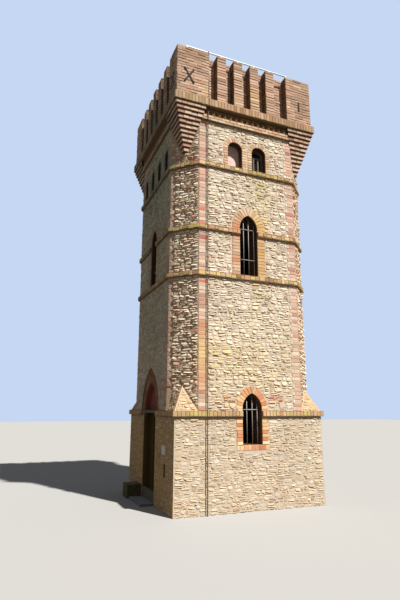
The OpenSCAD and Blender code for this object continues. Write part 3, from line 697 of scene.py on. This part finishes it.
mossyBricks = [(3, 190, 180, 156), (2, 176, 162, 138), (1, 160, 136, 112)]
flankShadeBricks = [(4, 104, 76, 54), (3, 88, 66, 48), (2, 124, 90, 64), (1, 84, 72, 44)]
friezeBricks = [(4, 146, 108, 72), (3, 120, 88, 60), (2, 176, 136, 88), (1, 196, 168, 98)]
course = dict(high=0.075, wide=0.225, loose=0.04, joint=0.011, least=0.04, ragged=0.03, tilt=0.004,
              proud=(0.003, 0.007), bond=True)
worn = dict(course, loose=0.10, joint=0.012, ragged=0.10, tilt=0.014, proud=(0.003, 0.013))


# bricks at both ends of a face, long and short by turns, the backs of the right-hand ones on
# the cut corner beside them, and fillers of rubble next to the short ones
def layQuoins(k):
    out, fills, rng = [], [], np.random.default_rng(65 + k)
    for z0, z1 in levels:
        n = round((z1 - z0) / quoins["high"])
        z = z0 + (np.arange(n) + 0.5) * (z1 - z0) / n
        tall = ((z1 - z0) / n - quoins["joint"]) / 2
        odd = np.arange(n) % 2
        reach = np.where(odd, quoins["long"], quoins["short"]) - quoins["joint"]
        rest = quoins["long"] - quoins["short"]
        for s in (-1, 1):
            long = reach + rng.uniform(-quoins["loose"], 0.0, n) * odd
            rows = block(s * (flatHalf - long / 2 - quoins["fromEdge"]), z, long / 2, tall,
                         rng.normal(0, quoins["tilt"], n), 0, rng.uniform(*quoins["proud"], n))
            fill = block(s * (flatHalf - quoins["short"] - rest / 2), z,
                         rest / 2 - quoins["fillJoint"], tall,
                         rng.normal(0, quoins["fillTilt"], n), 0, quoins["fillProud"])
            out.append((faces[k], rows))
            fills.append((faces[k], fill[odd == 0]))
        back = np.where(odd, quoins["backShort"], quoins["backLong"]) - quoins["joint"]
        free = [i for i in range(n)
                if broachReach(z[i]) < 0 and z[i] < corbelLow + quoins["overCorbel"]]
        out.append((cuts[k], block(back / 2 + quoins["fromEdge"] - cutHalf, z, back / 2, tall,
                                   0, 0, quoins["backProud"])[free]))
    return out, fills


laid = [layQuoins(k) for k in range(4)]
putBricks("quoin_bricks", [p for out, fills in laid for p in out], salmon, 62, 0.12)
putBricks("quoin_fillers", [p for out, fills in laid for p in fills], creamStones, 63,
          0.08)


# bricks round a window: courses up both sides, then wedges along each arc of radius big, whose
# centre lies shift beyond the middle
def layRing(w, side, pitch=0.078, proud=0.010, joint=0.008, uneven=0.0, outer=None, flare=0.9):
    ring, rng, rows = w["ring"], np.random.default_rng(round(1000 * w["foot"])), []
    tallSide = w["spring"] - w["foot"]
    n = max(1, round(tallSide / pitch)) if tallSide > 0 else 0
    if n:
        z = w["foot"] + (np.arange(n) + 0.5) * tallSide / n
        for s in (-1, 1):
            more = rng.uniform(-uneven, uneven, n)
            rows.append(block(w["mid"] + s * (w["half"] + (ring + more) / 2), z,
                              (ring + more - joint) / 2, (tallSide / n - joint) / 2, 0, 0, proud))
    big, shift = w["big"], w["big"] - w["half"]
    sweep = np.arccos(shift / big)
    m = max(2, round((big + ring / 2) * sweep / pitch))
    t = (np.arange(m) + 0.5) * sweep / m
    for s in (-1, 1):
        long = outer(t) - big if outer else ring + rng.uniform(-uneven, uneven, m)
        away = big + long / 2
        rows.append(block(w["mid"] + s * (away * np.cos(t) - shift), w["spring"] + away * np.sin(t),
                          (long - joint) / 2, (away * sweep / m - joint) / 2,
                          t if s > 0 else np.pi - t, long / 2 / away, proud))
    # a flared key fills the wedge that opens over the point; a round head has none
    if shift > 0.01:
        long = outer(sweep) - big if outer else ring
        apex, tall = w["spring"] + np.sqrt(big ** 2 - shift ** 2), long * np.sin(sweep)
        rows.append(block(w["mid"], apex + tall / 2 + joint, tall / 2 - joint,
                          (long * shift / big - joint) / 2, np.pi / 2, flare, proud))
    return [(side, np.concatenate(rows))]


putBricks("lancet_bricks", [p for k in range(4) for p in layRing(lancet, faces[k], uneven=0.02)],
          paleBricks, 71, 0.05)
putBricks("small_window_bricks", [p for k in (1, 3) for w in pair
                                  for p in layRing(w, faces[k], 0.07, uneven=0.012)],
          paleBricks, 73, 0.07)
putBricks("slit_bricks", [p for k in (0, 2) for w in slits for p in layRing(w, faces[k], 0.07)],
          mossyBricks, 79, 0.07)
# door arch in two rings: the outer one has the recess's outline, the inner one reaches out to it
archSet = dict(back=0.03, outer=0.13, pitch=0.085)
panelArch = opening(0, doorHalf, baseTop, baseTop, high("tympanum").z - baseTop, 0.12)
innerFar, innerShift = doorArch["big"] - archSet["outer"], doorArch["big"] - archHalf
outerArch = opening(0, archHalf - archSet["outer"], baseTop, baseTop,
                    np.sqrt(innerFar ** 2 - innerShift ** 2), archSet["outer"])


# distance from the inner ring's centre to the outer ring, for arcs whose centres lie d apart:
# r = sqrt(R^2 - d^2 sin(t)^2) - d cos(t)
def outerReach(t):
    d = innerShift - (panelArch["big"] - panelArch["half"])
    return np.sqrt(innerFar ** 2 - (d * np.sin(t)) ** 2) - d * np.cos(t)


archPlane = plane(0, half - archSet["back"])
archRings = (layRing(outerArch, archPlane, archSet["pitch"])
             + layRing(panelArch, archPlane, archSet["pitch"], outer=outerReach))
putBricks("door_arch_bricks", archRings, archBricks, 74)


# string courses: bricks on edge all round, broken by the doorway's lintel and the windows
onEdge = dict(course, high=stringHigh, wide=0.085, proud=(0.002, 0.006), bond=False, loose=0.12,
              ragged=0.08)
dirtyEdge = dict(onEdge, wide=0.12, proud=(0.001, 0.012), loose=0.35, ragged=0.22, tilt=0.03)


# a sill of bricks on edge under each low window
def layLowSill(k):
    foot, reach = low("low_window_surrounds").z, lowWindow["half"] + lowWindow["ring"]
    rng = np.random.default_rng(k)
    return faces[k], layRows(-reach, reach, foot, lowWindow["foot"], onEdge, rng)


lowRings = [p for k in (1, 3) for p in layRing(lowWindow, faces[k], 0.075, uneven=0.03)]
putBricks("low_window_bricks", lowRings + [layLowSill(k) for k in (1, 3)], redBricks, 72)


def layBaseString(z):
    reach, out = half + stringOut, []
    for k in range(4):
        side, rng = plane(90 * k, half + stringOut), np.random.default_rng(k)
        windows = {0: [gap(0, lintelHalf)], 2: []}.get(k, [noRing(lowWindow)])
        out.append((side, layRows(-reach, reach, z, z + stringHigh, onEdge, rng, windows)))
    return out


# the plan's corners move apart by tan 22.5 degrees of the projection
def layString(z):
    out, spread = [], stringOut * np.tan(np.pi / 8)
    for k in range(4):
        f, c = flatHalf + spread, cutHalf + spread
        rng = np.random.default_rng(k)
        out.append((plane(90 * k, half + stringOut),
                    layRows(-f, f, z, z + stringHigh, dirtyEdge, rng, [noRing(lancet)])))
        out.append((plane(90 * k + 45, cutFar + stringOut),
                    layRows(-c, c, z, z + stringHigh, dirtyEdge, rng)))
    return out


putBricks("base_string_bricks", layBaseString(baseTop - stringHigh), baseBricks, 68)
stringFeet = (lancetSill - stringHigh, midString, topSill - stringHigh)
putBricks("string_bricks", [p for z in stringFeet for p in layString(z)], edgeBricks, 75,
          0.14)

# band of bricks on end under the parapet, the moulding and the wall between them
soldiers = dict(course, high=bandTop - wallTop, wide=0.082, bond=False, loose=0.05,
                proud=(0.002, 0.009))


# one run of bricks on each face, between two levels: far is the face's distance from the
# middle, reach half the length of the run
def layRound(far, reach, z0, z1, s, seed):
    return [(plane(90 * k, far), layRows(-reach, reach, z0, z1, s, np.random.default_rng(seed + k)))
            for k in range(4)]


putBricks("band_bricks", layRound(bandFar, bandFar, wallTop, bandTop, soldiers, 80), bandBricks, 76,
          0.10)
mouldRows = dict(course, high=(mouldTop - mouldLow) / 2, wide=0.2, proud=(0.002, 0.008))
mouldReach = flatHalf - (mouldFar - half)
putBricks("moulding_bricks", layRound(mouldFar, mouldReach, mouldLow, mouldTop, mouldRows, 84),
          paleBricks, 77, 0.12)
# the frieze under the band gets dark brown bricks: partly soot, partly painted shade under the band
putBricks("frieze_bricks", layRound(half, flatHalf, teethTop, wallTop, worn, 94), friezeBricks, 78)

# corner corbels: each course is one row of headers on both of its faces
corbelHigh = (wallTop - corbelLow) / corbelSet["courses"]
corbelHeaders = dict(course, wide=0.16, bond=False, joint=0.008, high=corbelHigh, loose=0.2,
                     ragged=0.10, proud=(0.002, 0.010))


def layCorbels(s):
    out, rng = [], np.random.default_rng(88)
    for i in range(s["courses"]):
        e = i * (s["inset"] + s["outset"]) / (s["courses"] - 1) - s["inset"]
        z = corbelLow + i * corbelHigh
        a, b = flatHalf - e, half + e
        for k in range(4):
            side = plane(90 * k, half + e)
            out += [(side, layRows(p, q, z, z + corbelHigh, corbelHeaders, rng))
                    for p, q in ((a, b), (-b, -a))]
    return out


putBricks("corbel_bricks", layCorbels(corbelSet), corbelBricks, 89, 0.10)

# parapet: blocks and merlons, their flanks in the slots, the wall behind the slots, the inner
# face and the level tops. In a plan, near and far are the two corner blocks, and where no slot
# width is given the slots share what is left
frontPlan = dict(near=0.57, far=0.57, count=5, wide=0.25, slot=None)
sidePlan = dict(near=0.82, far=0.72, count=4, wide=0.24, slot=0.21)


def merlonSpans(s):
    free = 2 * parapetFar - s["near"] - s["far"] - s["count"] * s["wide"]
    slot = s["slot"] or free / (s["count"] + 1)
    starts = [-parapetFar + s["near"] + slot + i * (slot + s["wide"]) for i in range(s["count"])]
    return ([(-parapetFar, -parapetFar + s["near"])] + [(a, a + s["wide"]) for a in starts]
            + [(parapetFar - s["far"], parapetFar)])


def layParapet():
    fronts, flanks, behind, rng = [], [], [], np.random.default_rng(91)
    tall = bandTop, parapetTop
    for k in range(4):
        spans = merlonSpans(frontPlan if k in (0, 2) else sidePlan)
        for a, b in spans:
            fronts.append((plane(90 * k, parapetFar), layRows(a, b, *tall, worn, rng)))
        for (a, b), (c, d) in zip(spans[:-1], spans[1:]):
            ahead, astern = plane(90 * k + 90, b), plane(90 * k - 90, -c)
            flanks.append((ahead, layRows(-parapetFar, -slotBack, *tall, course, rng)))
            flanks.append((astern, layRows(slotBack, parapetFar, *tall, course, rng)))
            behind.append((plane(90 * k, slotBack), layRows(b, c, *tall, worn, rng)))
    return fronts, flanks, behind


# on the tops one ring of headers over the wall, then the merlons and blocks outside it
def layTops():
    out, rng = [], np.random.default_rng(97)
    headers = dict(course, wide=0.11, high=parapetThick, bond=False)
    outer = dict(headers, high=parapetFar - slotBack)
    for k in range(4):
        top = levelPlane(90 * k, parapetTop)
        reach = slotBack if k in (0, 2) else parapetIn
        out.append((top, layRows(-reach, reach, parapetIn, slotBack, headers, rng)))
        for a, b in merlonSpans(frontPlan if k in (0, 2) else sidePlan):
            if k in (1, 3):
                a, b = max(a, -slotBack), min(b, slotBack)
            out.append((top, layRows(-b, -a, slotBack, parapetFar, outer, rng)))
    return out


fronts, flanks, behind = layParapet()
putBricks("parapet_bricks", fronts, weathered, 92, vary=0.13)
# the flanks of the slots get very dark bricks: painted shade
putBricks("slot_flank_bricks", flanks, flankShadeBricks, 95, vary=0.10)
putBricks("slot_bricks", behind, weathered, 93, vary=0.10)
putBricks("parapet_top_bricks", layTops(), weathered, 96, vary=0.10)
innerRows = [layRows(-parapetIn, parapetIn, deckTop, parapetTop, course,
                     np.random.default_rng(98 + k)) for k in range(4)]
inner = [(plane(90 * k + 180, -parapetIn), rows) for k, rows in enumerate(innerRows)]
putBricks("parapet_inner_bricks", inner, weathered, 99, vary=0.10)
print("bricks laid")


# iron bars in the lancets and low windows, ends in the brick, the level ones ahead of the upright
# ones: a bar is a ring of six points carried from end to end
barFaces = np.array([[i, (i + 1) % 6, 6 + (i + 1) % 6, 6 + i] for i in range(6)]
                    + [[0, 5, 4, 3], [0, 3, 2, 1], [6, 7, 8, 9], [6, 9, 10, 11]])


def barPoints(starts, ends, radius):
    starts, ends = np.array(starts, float), np.array(ends, float)
    d = ends - starts
    d /= np.linalg.norm(d, axis=1)[:, None]
    side = np.cross(d, [0.3, 0.5, 0.81])
    side /= np.linalg.norm(side, axis=1)[:, None]
    other = np.cross(d, side)
    t = np.arange(6) * np.pi / 3
    ring = radius * (np.cos(t)[:, None] * side[:, None] + np.sin(t)[:, None] * other[:, None])
    return np.concatenate([starts[:, None] + ring, ends[:, None] + ring], 1)


def windowBars(w, k, s):
    side = plane(90 * k, half - s["deep"])
    shift = w["big"] - w["half"]
    starts, ends = [], []
    for u in s["uprights"]:
        top = w["spring"] + np.sqrt(w["big"] ** 2 - (abs(u) + shift) ** 2)
        starts.append(onPlane(side, np.array(u), np.array(w["foot"]), np.array(0.0)))
        ends.append(onPlane(side, np.array(u), np.array(top), np.array(0.0)))
    for z in s["crosses"]:
        r = w["reach"](z)
        starts.append(onPlane(side, np.array(-r), np.array(z), np.array(s["ahead"])))
        ends.append(onPlane(side, np.array(r), np.array(z), np.array(s["ahead"])))
    return barPoints(starts, ends, s["radius"])


lancetBars = dict(uprights=(-0.08, 0.05, 0.19), crosses=(lancetSill + 1.145, lancetSill + 0.405),
                  deep=0.10, ahead=0.012, radius=0.010)
lowBars = dict(lancetBars, uprights=(-0.08, 0.05, 0.17), crosses=(baseTop + 0.025,))
barLook = rough("grey_bars", (160, 156, 150), 60, 0.001, 0.2, 0.6, 0.2)
bars = [windowBars(lancet, k, lancetBars) for k in range(4)]
bars += [windowBars(lowWindow, k, lowBars) for k in (1, 3)]
putMesh("window_bars", np.concatenate(bars), barFaces, None, barLook, smooth=True)

# upright planks on the door leaf
leafLow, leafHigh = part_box("door_leaf")
planks = dict(course, high=leafHigh.z - leafLow.z, wide=0.135, loose=0.1, joint=0.008, ragged=0.0,
              tilt=0.0, bond=False, proud=(0.003, 0.0045),
              palette=[(1, 84, 72, 44), (1, 72, 61, 37)])
plankRows = layRows(leafLow.x, leafHigh.x, leafLow.z, leafHigh.z, planks, np.random.default_rng(3))
plankPoints = brickPoints(plane(0, -leafLow.y), plankRows, bevel=0.002, sunk=0.001)
plankTints = tintsOf(len(plankRows), planks["palette"], np.random.default_rng(4))
putMesh("door_planks", plankPoints, brickFaces, plankTints, plankLook, "door")
total, most = sum(triangles.values()), max(triangles.values())
print("triangles laid: %d, most in one piece: %d" % (total, most))

# the photograph's camera, fitted to the tower's own edges
cameraSet = dict(place=(10.595, -4.810, 2.055), turn=67.846, pitch=13.194, roll=0.239,
                 focal=457.74, frameHigh=600)


def makeCamera(s):
    data = bpy.data.cameras.new("camera")
    data.sensor_fit = "VERTICAL"
    data.sensor_height = 24.0
    data.lens = s["focal"] / s["frameHigh"] * data.sensor_height
    data.clip_end = 200
    cam = bpy.data.objects.new("camera", data)
    bpy.context.scene.collection.objects.link(cam)
    turn = Matrix.Rotation(np.radians(s["turn"]), 4, "Z")
    tilt = Matrix.Rotation(np.radians(90 + s["pitch"]), 4, "X")
    roll = Matrix.Rotation(np.radians(s["roll"]), 4, "Z")
    cam.matrix_world = Matrix.Translation(s["place"]) @ turn @ tilt @ roll
    bpy.context.scene.camera = cam


makeCamera(cameraSet)
sunSet = dict(strength=6.2, soft=1.5, elevation=54, azimuth=25, colour=(1.0, 0.955, 0.905))
skySet = dict(light=(0.86, 0.92, 1.0), level=0.20, shown=(0.56, 0.68, 0.89))
floorSet = dict(size=60, shown=(0.43, 0.43, 0.42), bounce=(0.11, 0.10, 0.08))


def makeSun(s):
    data = bpy.data.lights.new("sun", "SUN")
    data.energy = s["strength"]
    data.angle = np.radians(s["soft"])
    data.color = s["colour"]
    sun = bpy.data.objects.new("sun", data)
    bpy.context.scene.collection.objects.link(sun)
    e, a = np.radians(s["elevation"]), np.radians(s["azimuth"])
    toSun = Vector((np.cos(e) * np.cos(a), np.cos(e) * np.sin(a), np.sin(e)))
    sun.rotation_euler = toSun.to_track_quat("Z", "Y").to_euler()


# 1 where the camera looks straight, or by a gloss or through glass
def seenRay(tree):
    path = add(tree, "ShaderNodeLightPath")
    seen = path.outputs["Is Camera Ray"]
    for ray in ("Is Glossy Ray", "Is Transmission Ray"):
        both = {0: seen, 1: path.outputs[ray]}
        seen = add(tree, "ShaderNodeMath", both, operation="MAXIMUM").outputs[0]
    return seen


# soft sky light, with a plain pale background where the camera looks past the tower
def makeSky(s):
    world = bpy.data.worlds.new("sky")
    bpy.context.scene.world = world
    world.use_nodes = True
    tree = world.node_tree
    light = tree.nodes["Background"]
    light.inputs[0].default_value = (*s["light"], 1)
    light.inputs[1].default_value = s["level"]
    shown = add(tree, "ShaderNodeBackground")
    shown.inputs[0].default_value = (*s["shown"], 1)
    mix = add(tree, "ShaderNodeMixShader",
              {0: seenRay(tree), 1: light.outputs[0], 2: shown.outputs[0]})
    tree.links.new(mix.outputs[0], tree.nodes["World Output"].inputs[0])


# plain pale floor that throws little light back up
def makeFloor(s):
    r = s["size"]
    mesh = bpy.data.meshes.new("floor")
    mesh.from_pydata([(-r, -r, 0), (r, -r, 0), (r, r, 0), (-r, r, 0)], [], [(0, 1, 2, 3)])
    mat, tree, shader = blank("floor_paint")
    shown = add(tree, "ShaderNodeBsdfDiffuse", {"Color": (*s["shown"], 1)})
    bounce = add(tree, "ShaderNodeBsdfDiffuse", {"Color": (*s["bounce"], 1)})
    mix = add(tree, "ShaderNodeMixShader",
              {0: seenRay(tree), 1: bounce.outputs[0], 2: shown.outputs[0]})
    tree.links.new(mix.outputs[0], tree.nodes["Material Output"].inputs[0])
    tree.nodes.remove(shader)
    mesh.materials.append(mat)
    obj = bpy.data.objects.new("floor", mesh)
    bpy.context.scene.collection.objects.link(obj)


makeSun(sunSet)
makeSky(skySet)
makeFloor(floorSet)
bpy.context.scene.view_settings.view_transform = "Standard"
print("camera and light set")
